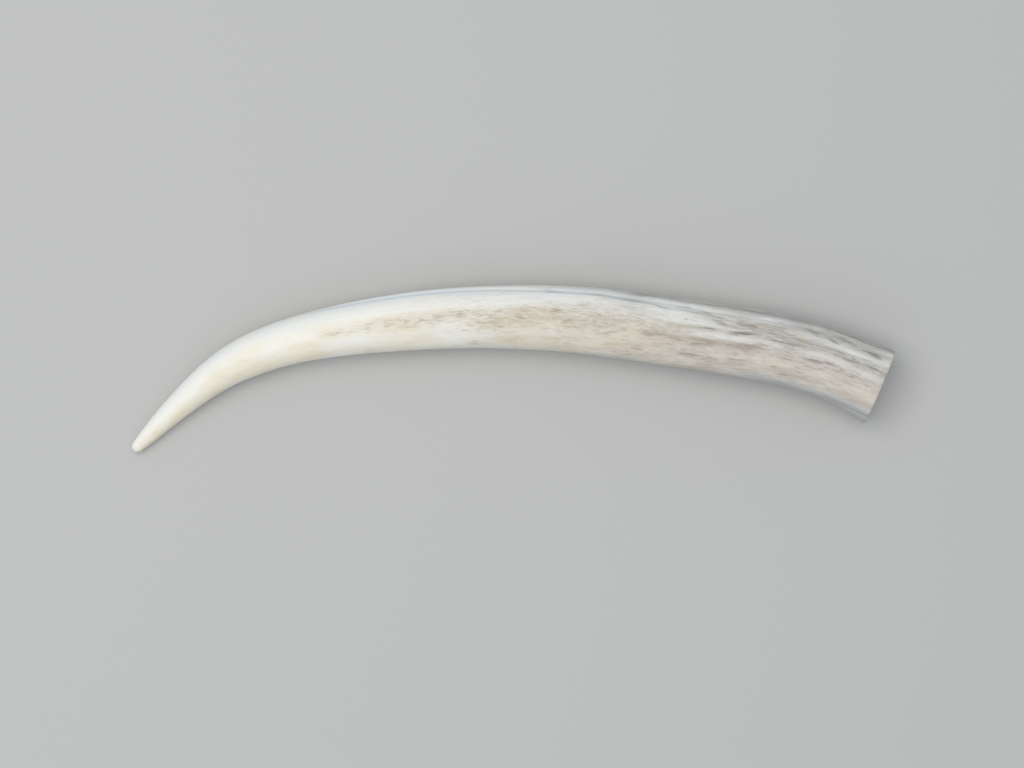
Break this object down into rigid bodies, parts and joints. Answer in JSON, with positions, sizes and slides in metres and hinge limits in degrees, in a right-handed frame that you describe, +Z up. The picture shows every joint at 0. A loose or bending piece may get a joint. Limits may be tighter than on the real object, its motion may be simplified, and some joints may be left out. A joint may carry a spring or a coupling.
{
  "type": "deer antler tine",
  "caption": "Curved antler tine with a rounded point and faint grooves along it, sawn flat across its base and lying on its side.",
  "frame": {"origin": "under the middle of the tine's bounding box, on the surface that it lies on", "axes": "+X along the tine, from its point to its sawn base; +Y towards the side that it bows out to; +Z up from the surface that it lies on"},
  "size_m": [0.3064, 0.0672, 0.0271],
  "materials": {
    "bone": "polished antler bone: creamy white with a satin sheen, pale brown and grey stain in the grooves"
  },
  "bodies": {
    "root": {"antler_tine": "bone"}
  },
  "joints": []
}
